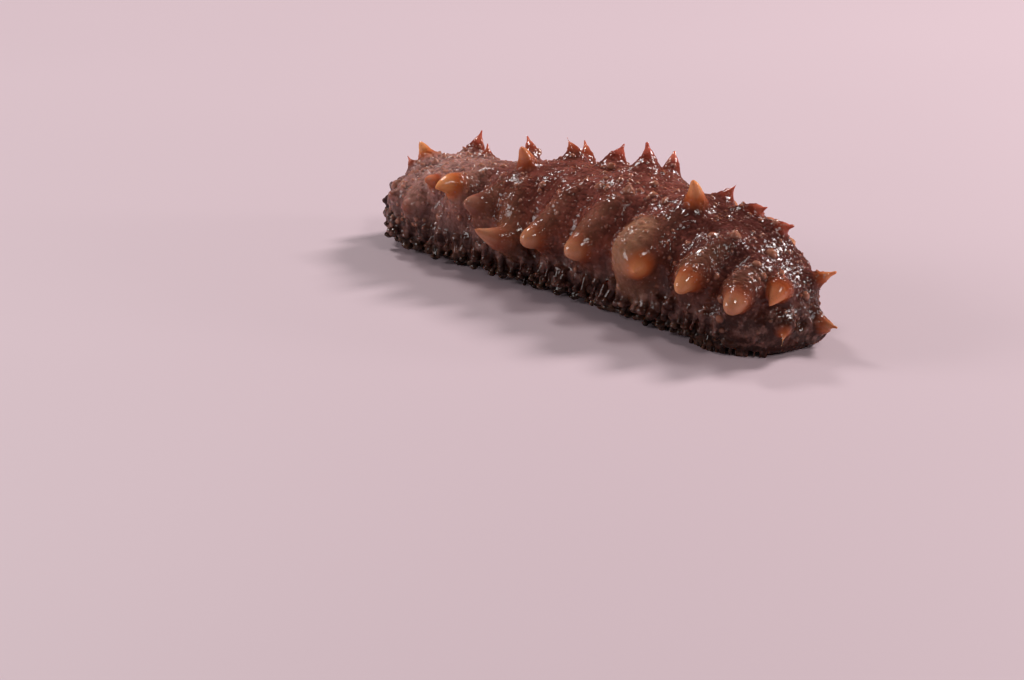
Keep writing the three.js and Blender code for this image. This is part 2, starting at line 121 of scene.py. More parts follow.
# Small round warts: x, angle, radius.
WARTS = [
    (-27.2, 33, 0.6), (-20.8, 37, 0.6), (-17.8, 13, 0.6), (-14.4, 31, 0.6), (-4.6, 33, 0.6),
    (0.5, -18, 0.7), (7.6, 25, 0.7), (14.4, 23, 0.7), (14.9, -1, 0.8), (18.2, 14, 0.8),
    (21.3, 16, 0.6), (26.9, -12, 0.7), (29.9, 30, 0.7), (34.0, 25, 0.7), (37.2, 15, 0.9),
    (39.4, 33, 0.7), (42.4, 0, 0.9), (43.2, 24, 0.8), (44.8, 42, 0.9), (48.1, -21, 0.7),
]
# Swollen folds that run up the flank from the large papillae: x and angle at each end, the two
# ends' radii, and how far the two ends stand out.
FOLDS = [
    (23.2, 80, 26.0, 24, 5.0, 2.2, 1.8, 0.0),
    (35.2, 60, 37.5, 28, 3.2, 1.8, 0.8, 0.0),
    (43.4, 50, 44.5, 24, 3.0, 1.8, 0.8, 0.0),
    (11.8, 66, 14.5, 28, 3.4, 1.8, 0.7, 0.0),
    (1.4, 68, 4.0, 32, 3.2, 1.8, 0.6, 0.0),
    (-6.8, 84, -8.8, 38, 3.6, 2.2, 1.0, 0.2),
    (-13.4, 64, -11.5, 36, 3.2, 1.8, 0.8, 0.1),
    (-21.6, 48, -19.5, 20, 3.2, 1.8, 0.8, 0.1),
    (-31.0, 70, -30.0, 50, 2.8, 2.0, 0.5, 0.3),
    (24.8, 2, 26.0, -24, 3.2, 2.6, 0.7, 0.5),
    (8.8, -20, 9.6, -44, 3.6, 2.8, 0.7, 0.5),
    (-9.9, -24, -11.0, -46, 3.2, 2.8, 0.6, 0.5),
    (-36.8, 2, -34.8, -34, 3.2, 2.8, 0.4, 0.5),
    (32.6, -20, 37.8, -25, 3.0, 3.0, 0.5, 0.5),
    (-37.0, -78, -35.0, -48, 2.8, 1.8, 0.6, 0.2),
    (-30.6, -70, -29.0, -46, 3.0, 1.8, 0.7, 0.2),
    (-20.6, -74, -18.0, -40, 3.2, 1.8, 0.8, 0.1),
    (-11.2, -66, -9.5, -38, 3.2, 2.0, 0.7, 0.2),
    (-0.3, -70, 2.5, -34, 3.4, 1.8, 0.9, 0.1),
    (10.8, -70, 13.0, -40, 3.4, 1.8, 0.7, 0.1),
    (22.2, -74, 25.0, -36, 3.6, 2.0, 1.0, 0.1),
    (31.8, -70, 34.0, -40, 3.2, 1.8, 0.8, 0.1),
]
# Grooves between the folds: x and angle at each end, radius, depth.
GROOVES = [
    (30.6, 26, 29.4, 92, 2.2, 0.7), (39.8, 30, 39.2, 84, 1.9, 0.6),
    (18.4, 34, 17.4, 92, 2.2, 0.6), (7.2, 38, 6.4, 92, 2.0, 0.5),
    (-2.2, 40, -2.8, 92, 2.0, 0.5), (-17.5, 40, -18.5, 88, 2.0, 0.4),
    (-26.0, 36, -27.0, 86, 1.8, 0.4), (17.0, -14, 16.0, 12, 2.4, 0.4),
    (1.8, -12, 1.2, 14, 2.4, 0.3), (-25.6, -42, -26.2, -88, 1.8, 0.4),
    (-15.6, -42, -16.2, -90, 2.0, 0.5), (-6.2, -40, -6.0, -90, 1.9, 0.5),
    (5.4, -40, 5.0, -90, 2.0, 0.6), (16.8, -42, 16.2, -92, 2.1, 0.6),
    (27.6, -40, 27.0, -92, 1.9, 0.5),
]
# Fillets of both, and how much of its depth a groove keeps at its second end.
FOLD_FILLET, GROOVE_FILLET, GROOVE_FADE = 3.0, 2.4, 0.6
# The form of each shape: places along its axis, from 0 at the root to 1 at the tip, and the
# radius there as a share of its own radius.
PROFILES = {
    "cone": ([-0.4, -0.12, 0.05, 0.22, 0.42, 0.62, 0.8, 0.95],
             [1.2, 1.6, 1.38, 1.12, 0.84, 0.58, 0.34, 0.12]),
    "horn": ([-0.4, -0.12, 0.08, 0.3, 0.5, 0.68, 0.82, 0.91, 0.96, 0.98],
             [1.2, 1.75, 1.45, 1.18, 0.99, 0.78, 0.55, 0.36, 0.21, 0.1]),
    "knob": ([-0.42, -0.12, 0.12, 0.32, 0.48, 0.62, 0.73, 0.82, 0.89, 0.94, 0.965, 0.975],
             [1.3, 1.65, 1.4, 1.22, 1.12, 1.01, 0.89, 0.74, 0.58, 0.4, 0.24, 0.1]),
    "bud": ([-0.42, 0.1, 0.5, 0.8], [1.4, 1.4, 1.1, 0.8]),
    "mound": ([-0.42, -0.12, 0.15, 0.35, 0.52, 0.66, 0.78, 0.88, 0.96, 1.01, 1.04],
              [1.6, 1.7, 1.5, 1.32, 1.14, 0.96, 0.78, 0.6, 0.4, 0.24, 0.1]),
    "spike": ([-0.42, -0.1, 0.12, 0.35, 0.55, 0.75, 0.96],
              [1.1, 1.6, 1.15, 0.72, 0.38, 0.2, 0.08]),
}
# How softly each shape joins the skin, and where its colour starts and ends along its axis.
JOINS = {"cone": 1.5, "horn": 1.5, "knob": 1.8, "bud": 1.8, "mound": 2.6, "spike": 1.3}
TINTS = {"cone": (0.0, 1.0), "horn": (-0.15, 0.95), "knob": (-0.1, 1.0), "bud": (0.6, 2.2),
         "mound": (0.3, 1.15), "spike": (0.0, 0.98)}
# How far each one's axis bends from the skin's outward direction into its own.
BENDS = {"cone": 1.0, "horn": 1.0, "knob": 0.5, "bud": 0.5, "mound": 0.3, "spike": 1.0}
POINTED = ("cone", "spike")
# Rows of tube feet: share of the sole's half width, lean outwards, step along x, root's height.
TUBE_ROWS = [
    (-1, -1, 1.55, 3.9), (-0.72, -0.3, 2.2, 2), (-0.36, 0, 2.2, 2), (0, 0, 2.2, 2),
    (0.36, 0, 2.2, 2), (0.72, 0.3, 2.2, 2), (1, 1, 1.55, 3.9),
]
# Rows of feet on the flank's lower edge: share of the half width, step, heights of root and tip.
EDGE_ROWS = [
    (0.64, 1.5, 4.4, 0.4), (0.76, 1.6, 4.6, 0.9), (0.86, 1.7, 5.0, 1.7), (0.95, 2.0, 6.0, 3.2),
]
EDGE_START, EDGE_FINISH = -41.0, 42.0
# Fine feet round the tail, and how many low buds there are on the lower flank.
RIM_START, RIM_FINISH = 34.0, 47.2
LOW_BUDS, BUDS_START, BUDS_LENGTH = 150, -41, 86
# Rings of tentacles: how many, how far out and their radius. Rows of lobes round the mouth end:
# x, how many and their radius.
TENTACLE_RINGS = [(7, 2.9, 0.95), (11, 4.9, 1.15)]
COLLAR_ROWS = [(-43.1, 17, 0.85), (-41.7, 20, 0.8), (-40.2, 19, 0.65)]


# Repeatable numbers from 0 to 1, drawn as in the solids.
def numbers(seed):
    state = seed
    while True:
        state = state * 16807 % 2147483647
        yield state / 2147483647


# From 0 at low to 1 at high, with soft ends.
def smoothstep(x, low, high):
    t = np.clip((x - low) / (high - low), 0, 1)
    return t * t * (3 - 2 * t)


# A column of the stations at any x, on a smooth curve.
def along(x, column):
    xs, v = STATIONS[:, 0], STATIONS[:, column]
    slope = np.gradient(v, xs)
    slope[1:-1] = (v[2:] - v[:-2]) / (xs[2:] - xs[:-2])
    i = np.clip(np.searchsorted(xs, x, side="right") - 1, 0, len(xs) - 2)
    h = xs[i + 1] - xs[i]
    t = (x - xs[i]) / h
    t2, t3 = t * t, t * t * t
    return (v[i] * (2 * t3 - 3 * t2 + 1) + slope[i] * h * (t3 - 2 * t2 + t)
            + v[i + 1] * (3 * t2 - 2 * t3) + slope[i + 1] * h * (t3 - t2))


# The same at one x, as a plain number.
def station(x, column):
    return float(along(np.float64(x), column))


# The square of how open a section is near the two ends, which goes on below zero past them.
def opening_squared(x, start, finish, rounding, start_power, finish_power):
    d0 = np.minimum((x - start) / rounding, 1)
    d1 = np.minimum((finish - x) / rounding, 1)
    return (1 - (1 - d0) ** start_power) * (1 - (1 - d1) ** finish_power)


# The measures of the body's section at x.
def section(x):
    settled = smoothstep(x, SETTLE_FROM, SETTLE_TO)
    top = along(x, BACK_Z)
    return {
        "back2": opening_squared(x, HEAD_END, TAIL_END, END_ROUNDING, *BACK_ENDS),
        "belly2": opening_squared(x, HEAD_END, TAIL_END, END_ROUNDING, *BELLY_ENDS),
        "centre": along(x, CENTRE_Y), "half": along(x, HALF_WIDTH),
        "top": top, "middle": top * WIDEST_AT,
        "power": BELLY_POWER + (SETTLED_POWER - BELLY_POWER) * settled,
        "drop": 1 + (SETTLED_DROP - 1) * settled, "shift": SETTLED_SHIFT * settled,
    }


# A point of the bare skin: its place along the body and its angle round it, in radians.
def skin_point(x, angle):
    q = section(x)
    back = np.sqrt(np.maximum(q["back2"], 0))
    belly = np.sqrt(np.maximum(q["belly2"], 0))
    s, c = np.sin(angle), np.cos(angle)
    out = q["half"] * back * np.sign(s) * np.abs(s) ** (2 / SIDE_POWER)
    rise = (q["top"] - q["middle"]) * back * np.abs(c) ** (2 / BACK_POWER)
    fall = q["middle"] * belly * q["drop"] * np.abs(c) ** (2 / q["power"])
    y = q["centre"] - out + q["shift"] * np.maximum(-c, 0)
    return np.stack([x + 0 * y, y, np.where(c > 0, q["middle"] + rise, q["middle"] - fall)], -1)


def unit(v):
    return v / np.linalg.norm(v, axis=-1, keepdims=True)


# The skin's outward direction, and the two directions along it: to the tail and down the flank.
def skin_frame(x, angle):
    e = 0.01
    to_tail = unit(skin_point(x + e, angle) - skin_point(x - e, angle))
    turn = unit(skin_point(x, angle + e) - skin_point(x, angle - e))
    out = unit(np.cross(turn, to_tail))
    down = -turn if angle < 0 else turn
    tail = unit(np.array([1.0, 0.0, 0.0]) - out * out[0])
    return out, down, tail


class Growth:
    """A papilla: it rises along the skin's outward direction and bends into its own."""

    def __init__(self, x, degrees, length, radius, lean, droop, shape, warmth):
        angle = math.radians(degrees)
        self.root = skin_point(np.float64(x), angle)
        out, down, tail = skin_frame(np.float64(x), angle)
        self.aim = unit(out + tail * math.tan(math.radians(lean))
                        + down * math.tan(math.radians(droop)))
        self.start = out * BENDS[shape] + self.aim * (1 - BENDS[shape])
        self.length, self.radius, self.shape, self.warmth = length, radius, shape, warmth
        self.knots, self.shares = PROFILES[shape]
        self.tip = self.root + self.aim * length

    # Points of the axis, and its direction there.
    def axis(self, t):
        bend = np.clip(t, 0, 1)[..., None]
        t = t[..., None]
        point = self.root + (self.start * (1 - bend) + self.aim * bend) * self.length * t
        ahead = self.start * (1 - 2 * bend) + self.aim * 2 * bend
        return point, ahead * self.length

    # Distance from points to the papilla's surface, and their place along its axis, which goes on
    # past both ends.
    def distance(self, p):
        chord = self.tip - self.root
        t = (p - self.root) @ chord / (chord @ chord)
        for _ in range(2):
            t = np.clip(t, self.knots[0], 1)
            point, ahead = self.axis(t)
            t = t + ((p - point) * ahead).sum(-1) / (ahead * ahead).sum(-1)
        held = np.clip(t, self.knots[0], self.knots[-1])
        point = self.axis(held)[0]
        gap = np.linalg.norm(p - point, axis=-1)
        return gap - self.radius * np.interp(held, self.knots, self.shares), t


# All papillae. Those of the far flank vary a little in place, size and lean.
def growths():
    rows = list(PAPILLAE)
    draw = numbers(71)
    for places, angle, length, radius in FAR_ROWS:
        for x in places:
            turn = angle + 10 * (next(draw) - 0.5)
            size = 0.85 + 0.3 * next(draw)
            lean = 30 * (next(draw) - 0.5)
            droop = 12 * next(draw)
            shape = FAR_SHAPES[len(rows) % len(FAR_SHAPES)]
            warmth = 0.05 + 1.4 * (size - 0.85)
            rows.append((x, turn, length * size, radius * size, lean, droop, shape, warmth))
    return [Growth(*row) for row in rows]


class Field:
    """A grid of distances to the animal's surface. It starts as the body on its own."""

    def __init__(self, low, high, step):
        self.low, self.step = np.array(low), step
        count = np.ceil((np.array(high) - self.low) / step).astype(int) + 1
        self.axes = [self.low[k] + step * np.arange(count[k]) for k in range(3)]
        self.values = body_distance(self.axes, step)

    # The same grid with twice as many steps.
    def refine(self):
        for axis in range(3):
            old = np.moveaxis(self.values, axis, 0)
            new = np.empty((2 * len(old) - 1,) + old.shape[1:], np.float32)
            new[::2] = old
            new[1::2] = (old[1:] + old[:-1]) / 2
            self.values = np.moveaxis(new, 0, axis)
        self.values = np.ascontiguousarray(self.values)
        self.step /= 2
        self.axes = [self.low[k] + self.step * np.arange(self.values.shape[k]) for k in range(3)]

    # The part of the grid inside a box, and its points.
    def window(self, low, high):
        first = np.maximum(np.floor((low - self.low) / self.step), 0).astype(int)
        last = np.ceil((high - self.low) / self.step).astype(int) + 1
        return tuple(slice(a, b) for a, b in zip(first, last))

    def points(self, cut):
        axes = [self.axes[k][cut[k]].astype(np.float32) for k in range(3)]
        return np.stack(np.meshgrid(*axes, indexing="ij"), -1)

    # Joins a shape to the field, with a fillet of size k, inside a box round it.
    def join(self, low, high, distance, k):
        cut = self.window(low, high)
        self.values[cut] = soft_min(self.values[cut], distance(self.points(cut)), k)

    # Cuts a shape out of the field in the same way.
    def cut_away(self, low, high, distance, k):
        cut = self.window(low, high)
        self.values[cut] = -soft_min(-self.values[cut], distance(self.points(cut)), k)


# The smaller of two distances, with a fillet of size k where they meet.
def soft_min(a, b, k):
    h = np.maximum(k - np.abs(a - b), 0) / k
    return np.minimum(a, b) - h * h * k / 4


# Distance to the body without its papillae, from a level that is 0 on the skin.
def body_distance(axes, step):
    x, y, z = axes
    q = {name: value[:, None, None] for name, value in section(x).items()}
    y, z = y[None, :, None], z[None, None, :]
    opened = np.sign(q["back2"]) * np.abs(q["back2"]) ** (SIDE_POWER / 2)
    back = np.sqrt(np.maximum(q["back2"], 0.01))
    belly = np.sqrt(np.maximum(q["belly2"], 0.02))
    above = np.abs(z - q["middle"]) / ((q["top"] - q["middle"]) * back)
    below = np.abs(z - q["middle"]) / (q["middle"] * belly * q["drop"])
    is_back = z > q["middle"]
    ratio = back ** SIDE_POWER
    upright = np.where(is_back, above ** BACK_POWER, below ** q["power"]) * ratio
    shift = q["shift"] * np.where(is_back, 0, np.minimum(below, 1) ** (q["power"] / 2))
    across = np.abs((y - q["centre"] - shift) / q["half"]) ** SIDE_POWER
    level = (across + upright - opened).astype(np.float32)
    slope = np.zeros_like(level)
    for part in np.gradient(level, step):
        slope += part * part
    return level / np.sqrt(slope + 1e-6)


def sole_half_width(x):
    opened = opening_squared(x, SOLE_START, SOLE_FINISH, SOLE_ROUNDING, *SOLE_ENDS)
    return along(x, HALF_WIDTH) * SOLE_WIDTH * np.sqrt(np.maximum(opened, 0))


# A point in front of the crown's centre, at a distance and an angle from its axis.
def crown_point(forwards, radius, angle):
    p = np.array([-forwards, radius * math.sin(angle), radius * math.cos(angle)])
    c, s = math.cos(-CROWN_TILT), math.sin(-CROWN_TILT)
    return CROWN_CENTRE + np.array([c * p[0] + s * p[2], p[1], -s * p[0] + c * p[2]])


# How far a place lies in front of the crown's centre.
def crown_forwards(x, z):
    return -(math.cos(CROWN_TILT) * (x - CROWN_CENTRE[0])
             + math.sin(CROWN_TILT) * (z - CROWN_CENTRE[2]))


# Distances to a ball or an egg, and to a capsule with two radii.
def ball(centre, radii):
    def distance(p):
        r = np.linalg.norm((p - centre) / radii, axis=-1)
        return (r - 1) * np.min(radii)
    return distance


def pillar(a, b, ra, rb):
    ab = b - a

    def distance(p):
        t = np.clip((p - a) @ ab / (ab @ ab), 0, 1)
        return np.linalg.norm(p - a - t[..., None] * ab, axis=-1) - (ra + (rb - ra) * t)
    return distance


# Join such a shape to the field, inside a box that goes so far past it.
def add_ball(field, centre, radii, past, k):
    field.join(centre - past, centre + past, ball(centre, radii), k)


def add_pillar(field, a, b, ra, rb, past, k):
    field.join(np.minimum(a, b) - past, np.maximum(a, b) + past, pillar(a, b, ra, rb), k)


# A foot: its root, its tip and its radius.
def foot(x, y, top, lean_x, lean_y, bottom, radius):
    return np.array([x, y, top]), np.array([x + lean_x, y + lean_y, bottom]), radius


# Tube feet of the sole.
def tube_feet():
    draw = numbers(17)
    feet = []
    for share, outwards, step, top in TUBE_ROWS:
        x = SOLE_START + 1.6
        while x < SOLE_FINISH - 0.8:
            half = float(sole_half_width(np.float64(x)))
            wobble = [next(draw) - 0.5 for _ in range(4)]
            if abs(share) == 1 or half > 2.4:
                y = station(x, CENTRE_Y) + half * share + 0.5 * wobble[0]
                lean = outwards * (0.6 + 0.7 * wobble[1])
                radius = 0.46 + 0.12 * wobble[3]
                feet.append(foot(x, y, top, 0.8 * wobble[2], lean, 0.2, radius))
            x += step * (0.85 + 0.3 * next(draw))
    return feet


# Shorter, softer feet that hang from the flank's lower edge in ragged rows.
def edge_feet():
    draw = numbers(29)
    feet = []
    for side in (-1, 1):
        for share, step, top, bottom in EDGE_ROWS:
            x = EDGE_START
            while x < EDGE_FINISH:
                wobble = [next(draw) - 0.5 for _ in range(6)]
                closing = opening_squared(np.float64(x), -44.5, 47, 9, 2.4, 2.4)
                half = station(x, HALF_WIDTH) * math.sqrt(max(float(closing), 0))
                y = station(x, CENTRE_Y) + side * half * (share + 0.1 * wobble[0])
                end = max(bottom + 2.4 * wobble[1] ** 2 + 1.2 * abs(wobble[5]), 0.3)
                lean = side * (0.2 + 1.2 * next(draw))
                radius = 0.5 + 0.5 * wobble[3]
                feet.append(foot(x, y, top, 1.6 * wobble[2], lean, end, radius))
                x += step * (0.55 + 0.9 * next(draw))
    return feet


# Fine feet round the tail, where it lies on the floor.
def rim_feet():
    draw = numbers(41)
    feet = []
    for side in (-1, 1):
        x = RIM_START
        while x < RIM_FINISH:
            height = 1.5 + 0.8 * next(draw)
            base = skin_point(np.float64(x), side * math.radians(-116))
            # The first ones are tucked under the flank.
            y = base[1] - side * (0.05 + 1.3 * float(smoothstep(-x, -39, -34)))
            lean = 0.3 * (next(draw) - 0.5)
            radius = 0.24 + 0.14 * next(draw)
            feet.append(foot(x, y, height, lean, 0.25 * side, 0.2, radius))
            x += 0.55 + 0.45 * next(draw)
    return feet


# A place part of the way along a strip: x, and the angle in radians.
def between(ends, t):
    x0, degrees0, x1, degrees1 = ends
    return np.float64(x0 + (x1 - x0) * t), math.radians(degrees0 + (degrees1 - degrees0) * t)


# A strip on the skin, as a row of capsules that are joined to the field or cut out of it.
def strip(field, ends, radii, heights, k, join):
    centres, sizes = [], []
    for t in np.linspace(0, 1, 7):
        x, angle = between(ends, t)
        radius = radii[0] + (radii[1] - radii[0]) * t
        height = heights[0] + (heights[1] - heights[0]) * t
        out = skin_frame(x, angle)[0]
        centres.append(skin_point(x, angle) + out * (height - radius if join else radius - height))
        sizes.append(radius)
    centres, reach = np.array(centres), max(sizes) + k

    def distance(p):
        nearest = np.full(p.shape[:-1], 1e3)
        for i in range(len(sizes) - 1):
            part = pillar(centres[i], centres[i + 1], sizes[i], sizes[i + 1])(p)
            nearest = np.minimum(nearest, part)
        return nearest
    action = field.join if join else field.cut_away
    action(centres.min(0) - reach, centres.max(0) + reach, distance, k)


# Cuts the belly level, and adds the bulges beside it and the sole.
def add_belly(field):
    x = field.axes[0]
    y = field.axes[1][None, :, None]
    z = field.axes[2][None, None, :]
    line = np.interp(x, [HEAD_END + 3, HEAD_END + 9, SOLE_FINISH - 3, SOLE_FINISH + 1.5],
                     [RIM_Z, BELLY_Z, BELLY_Z, -0.5])[:, None, None]
    field.values = -soft_min(-field.values, z - line, 1.2)
    for side in (-1, 1):
        places = []
        for px in np.arange(-39.0, 44.0, 3.0):
            opened = math.sqrt(float(opening_squared(px, HEAD_END, TAIL_END, 8, 2, 2)))
            py = station(px, CENTRE_Y) + side * BULGE_SHARE * station(px, HALF_WIDTH) * opened
            places.append(np.array([px, py, BULGE_Z]))
        for a, b in zip(places, places[1:]):
            add_pillar(field, a, b, BULGE_RADIUS, BULGE_RADIUS, 4, BULGE_FILLET)
    half = sole_half_width(x)[:, None, None]
    side = np.abs(y - along(x, CENTRE_Y)[:, None, None]) - half
    side = np.where(half > 0, side, 5)
    sole = np.maximum(side, np.abs(z - SOLE_Z) - SOLE_DEPTH)
    field.values = soft_min(field.values, sole, 0.8).astype(np.float32)


# Feet, with a flat pad at the tip of the larger ones.
def add_feet(field):
    for root, tip, r in tube_feet() + edge_feet():
        add_pillar(field, root, tip, r * 1.15, r * 0.8, r + 1, 0.7)
        add_ball(field, tip, np.array([r * 1.3, r * 1.3, 0.42]), 1.6, 0.3)
    for root, tip, r in rim_feet():
        add_pillar(field, root, tip, r, r, 1.2, 0.3)


# Low buds on the lower flank.
def add_low_buds(field):
    draw = numbers(61)
    for _ in range(LOW_BUDS):
        x = np.float64(BUDS_START + BUDS_LENGTH * next(draw))
        angle = math.radians((96 + 34 * next(draw)) * (1 if next(draw) < 0.5 else -1))
        size = 0.45 + 0.5 * next(draw)
        centre = skin_point(x, angle)
        if centre[2] > 1.4:
            add_ball(field, centre, size, 2, 0.6)


# Drawn-in tentacles: short stalks that end in bunches of small lobes.
def add_tentacles(field, draw):
    for count, reach, radius in TENTACLE_RINGS:
        for i in range(count):
            angle = 2 * math.pi * (i + 0.4 * next(draw)) / count
            top = crown_point(2.5 + 0.6 * next(draw), reach, angle)
            root = crown_point(0.4, reach * 0.85, angle)
            add_pillar(field, root, top, radius * 0.7, radius * 0.8, 2, 0.4)
            for lobe in range(6):
                turn = 2 * math.pi * (lobe + next(draw)) / 6
                spread = radius * (0.45 + 0.3 * next(draw))
                side = crown_point(0, math.sin(turn) * spread, angle + math.pi / 2)
                up = crown_point(0, math.cos(turn) * spread, angle)
                centre = top + (side - CROWN_CENTRE) + (up - CROWN_CENTRE)
                centre[0] -= 0.3 * next(draw)
                add_ball(field, centre, radius * (0.38 + 0.22 * next(draw)), 1.5, 0.22)


# A collar of folded lobes round the mouth end, smaller on top and lifted off the floor.
def add_collar(field, draw):
    for place, count, radius in COLLAR_ROWS:
        for i in range(count):
            angle = 2 * math.pi * (i + 0.6 * next(draw)) / count - math.pi
            x = np.float64(place + 0.9 * (next(draw) - 0.5))
            size = radius * (0.7 + 0.6 * next(draw))
            if abs(angle) < 0.5:
                size *= 0.55
            centre = skin_point(x, angle) + skin_frame(x, angle)[0] * 0.1
            centre[2] = max(centre[2], size * 0.8)
            radii = size * np.array([0.8 + 0.5 * next(draw), 1.0, 1.0])
            add_ball(field, centre, radii, 2.4, 0.35)


def build_field(papillae):
    field = Field(FIELD_LOW, FIELD_HIGH, VOXEL * 2)
    forwards = crown_forwards(field.axes[0][:, None, None], field.axes[2][None, None, :])
    field.values = -soft_min(-field.values, CROWN_FACE - forwards, CROWN_FILLET)
    for *ends, radius0, radius1, rise0, rise1 in FOLDS:
        strip(field, ends, (radius0, radius1), (rise0, rise1), FOLD_FILLET, True)
    for *ends, radius, depth in GROOVES:
        strip(field, ends, (radius, radius), (depth, depth * GROOVE_FADE), GROOVE_FILLET, False)
    add_belly(field)
    field.refine()
    add_feet(field)
    add_low_buds(field)
    for g in papillae:
        reach = g.radius * 1.75 + 2.0
        low = np.minimum(g.root, g.tip) - reach
        high = np.maximum(g.root, g.tip) + reach
        field.join(low, high, lambda p: g.distance(p)[0], JOINS[g.shape])
    draw = numbers(5)
    add_tentacles(field, draw)
    add_collar(field, draw)
    # The mouth is a mound with a pit, and the vent a pit.
    add_ball(field, crown_point(2.3, 0, 0), 1.5, 3, 0.8)
    for centre, radius, k in [(crown_point(3.6, 0, 0), 1.1, 0.6), (VENT, 1.2, 0.9)]:
        field.cut_away(centre - 3, centre + 3, ball(centre, radius), k)
    # Nothing goes below the floor.
    field.values = np.maximum(field.values, -field.axes[2].astype(np.float32))
    return field


# Corners of a cell.
CORNERS = [(i, j, k) for i in (0, 1) for j in (0, 1) for k in (0, 1)]


# One closed surface of quads at the field's zero level.
def surface(field):
    v = field.values
    inside = v < 0
    n = np.array(v.shape)
    filled = np.zeros(n - 1, np.uint8)
    for i, j, k in CORNERS:
        filled += inside[i:n[0] - 1 + i, j:n[1] - 1 + j, k:n[2] - 1 + k]
    cells = np.argwhere((filled > 0) & (filled < 8))
    del filled
    place = np.zeros((len(cells), 3))
    hits = np.zeros(len(cells))
    at = {c: v[cells[:, 0] + c[0], cells[:, 1] + c[1], cells[:, 2] + c[2]] for c in CORNERS}
    for a in CORNERS:
        for axis in range(3):
            if a[axis]:
                continue
            b = tuple(a[m] + (m == axis) for m in range(3))
            crossing = (at[a] < 0) != (at[b] < 0)
            point = np.tile(np.array(a, float), (len(cells), 1))
            point[:, axis] = at[a] / np.where(crossing, at[a] - at[b], 1)
            place[crossing] += point[crossing]
            hits += crossing
    place = field.low + field.step * (cells + place / hits[:, None])
    index = np.full(n - 1, -1, np.int32)
    index[tuple(cells.T)] = np.arange(len(cells))
    quads = []
    for axis in range(3):
        u, w = [(1, 2), (2, 0), (0, 1)][axis]
        ahead = np.roll(inside, -1, axis)
        changes = np.argwhere(inside != ahead)
        keep = (changes[:, axis] < n[axis] - 1) & (changes[:, u] > 0) & (changes[:, w] > 0)
        changes = changes[keep]
        turned = inside[tuple(changes.T)]
        ring = []
        for du, dw in [(1, 1), (0, 1), (0, 0), (1, 0)]:
            cell = changes.copy()
            cell[:, u] -= du
            cell[:, w] -= dw
            ring.append(index[tuple(cell.T)])
        ring = np.stack(ring, 1)
        quads.append(np.where(turned[:, None], ring, ring[:, ::-1]))
    return place, np.concatenate(quads)


# A whole number for each cell of a grid. It looks random, but is the same each time.
def hashed(cell, seed):
    h = np.uint32(seed * 2654435761 % 4294967296)
    for axis, factor in enumerate((73856093, 19349663, 83492791)):
        h = h ^ cell[..., axis].astype(np.uint32) * np.uint32(factor)
    for shift, factor in ((15, 2246822519), (13, 3266489917), (16, 1)):
        h ^= h >> np.uint32(shift)
        h *= np.uint32(factor)
    return h


# A number from 0 to 1 out of ten of its bits.
def fraction(h, shift):
    return ((h >> np.uint32(shift)) & np.uint32(1023)).astype(np.float32) / 1023


# Distance to the nearest of scattered points, one to a cell, and that point's own number. It is
# true up to three quarters of a cell.
def scattered(p, size, seed):
    q = (p / size).astype(np.float32)
    base = np.floor(q - 0.5).astype(np.int32)
    nearest = np.full(len(p), 9.0, np.float32)
    own = np.zeros(len(p), np.float32)
    for corner in CORNERS:
        cell = base + corner
        h = hashed(cell, seed)
        spot = cell + 0.25 + 0.5 * np.stack([fraction(h, shift) for shift in (0, 10, 20)], -1)
        gap = np.linalg.norm(q - spot, axis=-1)
        closer = gap < nearest
        nearest = np.where(closer, gap, nearest)
        own = np.where(closer, fraction(hashed(cell, seed + 7), 5), own)
    return nearest * size, own


# Smooth noise from -1 to 1.
def noise(p, size, seed):
    q = (p / size).astype(np.float32)
    base = np.floor(q).astype(np.int32)
    f = q - base
    f = f * f * (3 - 2 * f)
    total = np.zeros(len(p), np.float32)
    for corner in CORNERS:
        value = fraction(hashed(base + corner, seed), 3) * 2 - 1
        weight = 1
        for k in range(3):
            weight = weight * (f[:, k] if corner[k] else 1 - f[:, k])
        total += value * weight
    return total


def vertex_normals(points, quads):
    a, b, c, d = (points[quads[:, k]] for k in range(4))
    face = np.cross(c - a, d - b)
    normals = np.zeros_like(points)
    for k in range(4):
        for axis in range(3):
            normals[:, axis] += np.bincount(quads[:, k], face[:, axis], len(points))
    return unit(normals + 1e-12)


# Moves each point part of the way to the middle of its neighbours.
def relax(points, quads, share):
    total = np.zeros_like(points)
    count = np.zeros(len(points))
    for k in range(4):
        a, b = quads[:, k], quads[:, (k + 1) % 4]
        for axis in range(3):
            total[:, axis] += np.bincount(a, points[b, axis], len(points))
            total[:, axis] += np.bincount(b, points[a, axis], len(points))
        count += np.bincount(a, minlength=len(points)) + np.bincount(b, minlength=len(points))
    return points + share * (total / count[:, None] - points)


# Height of the bumps round scattered points. Only a share of them is there.
def beads(points, cell, smallest, largest, seed, share):
    gap, own = scattered(points, cell, seed)
    radius = smallest + (largest - smallest) * own * own
    dome = np.maximum(1 - (gap / radius) ** 2, 0) ** 0.65
    chosen = fraction(hashed(np.floor(own * 1023)[:, None] * np.array([1, 3, 7]), seed + 1), 4)
    return dome * radius * 0.95 * (chosen < share)


# Raises a mask to new values where they are higher.
def lift(mask, values, where=slice(None)):
    mask[where] = np.maximum(mask[where], values)


